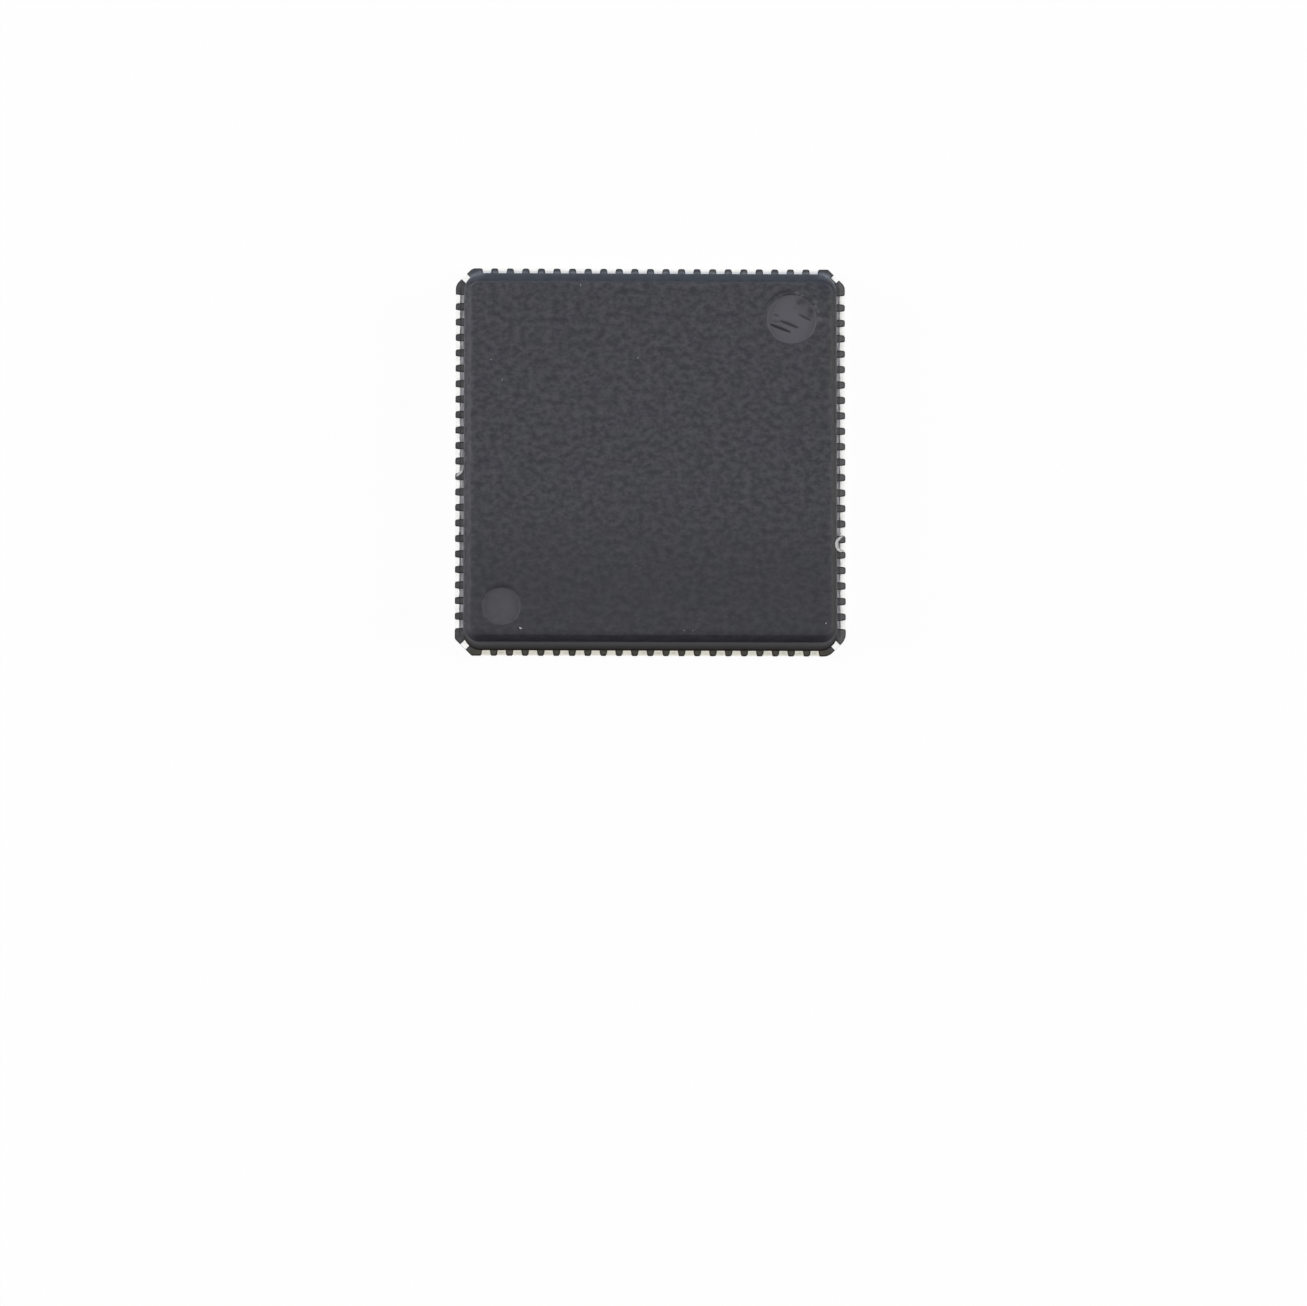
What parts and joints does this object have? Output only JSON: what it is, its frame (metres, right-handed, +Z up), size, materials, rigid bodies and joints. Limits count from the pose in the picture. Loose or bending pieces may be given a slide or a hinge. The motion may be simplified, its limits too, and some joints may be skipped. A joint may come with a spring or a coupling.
{
  "type": "integrated circuit package",
  "caption": "Square lead-less moulded integrated circuit with a sloped black cap, tin-plated leads flush round its edge, cut corners, and a bare square pad underneath.",
  "frame": {"origin": "under the middle of the package, on the plane that the leads and the bare pad rest on", "axes": "+Z up out of the marked face, +X and +Y along the sides of the package, with pin one and its recess in the corner at -X, -Y and the pins counted anticlockwise from above"},
  "size_m": [0.01, 0.01, 0.0009],
  "materials": {
    "moulding_compound": "matte",
    "tin_plated_leads": "satin",
    "tin_plated_paddle": "satin",
    "silver_adhesive": "matte",
    "silicon": "gloss",
    "gold_wire": "polished"
  },
  "bodies": {
    "root": {"mould_body": "moulding_compound", "die_paddle": "tin_plated_paddle", "die_attach_film": "silver_adhesive", "silicon_die": "silicon", "ground_wires": "gold_wire", "lead_bank_1": "tin_plated_leads", "lead_bank_2": "tin_plated_leads", "lead_bank_3": "tin_plated_leads", "lead_bank_4": "tin_plated_leads", "lead_bank_5": "tin_plated_leads", "lead_bank_6": "tin_plated_leads", "lead_bank_7": "tin_plated_leads", "lead_bank_8": "tin_plated_leads", "wire_bank_1": "gold_wire", "wire_bank_2": "gold_wire", "wire_bank_3": "gold_wire", "wire_bank_4": "gold_wire", "wire_bank_5": "gold_wire", "wire_bank_6": "gold_wire", "wire_bank_7": "gold_wire", "wire_bank_8": "gold_wire"}
  },
  "joints": []
}
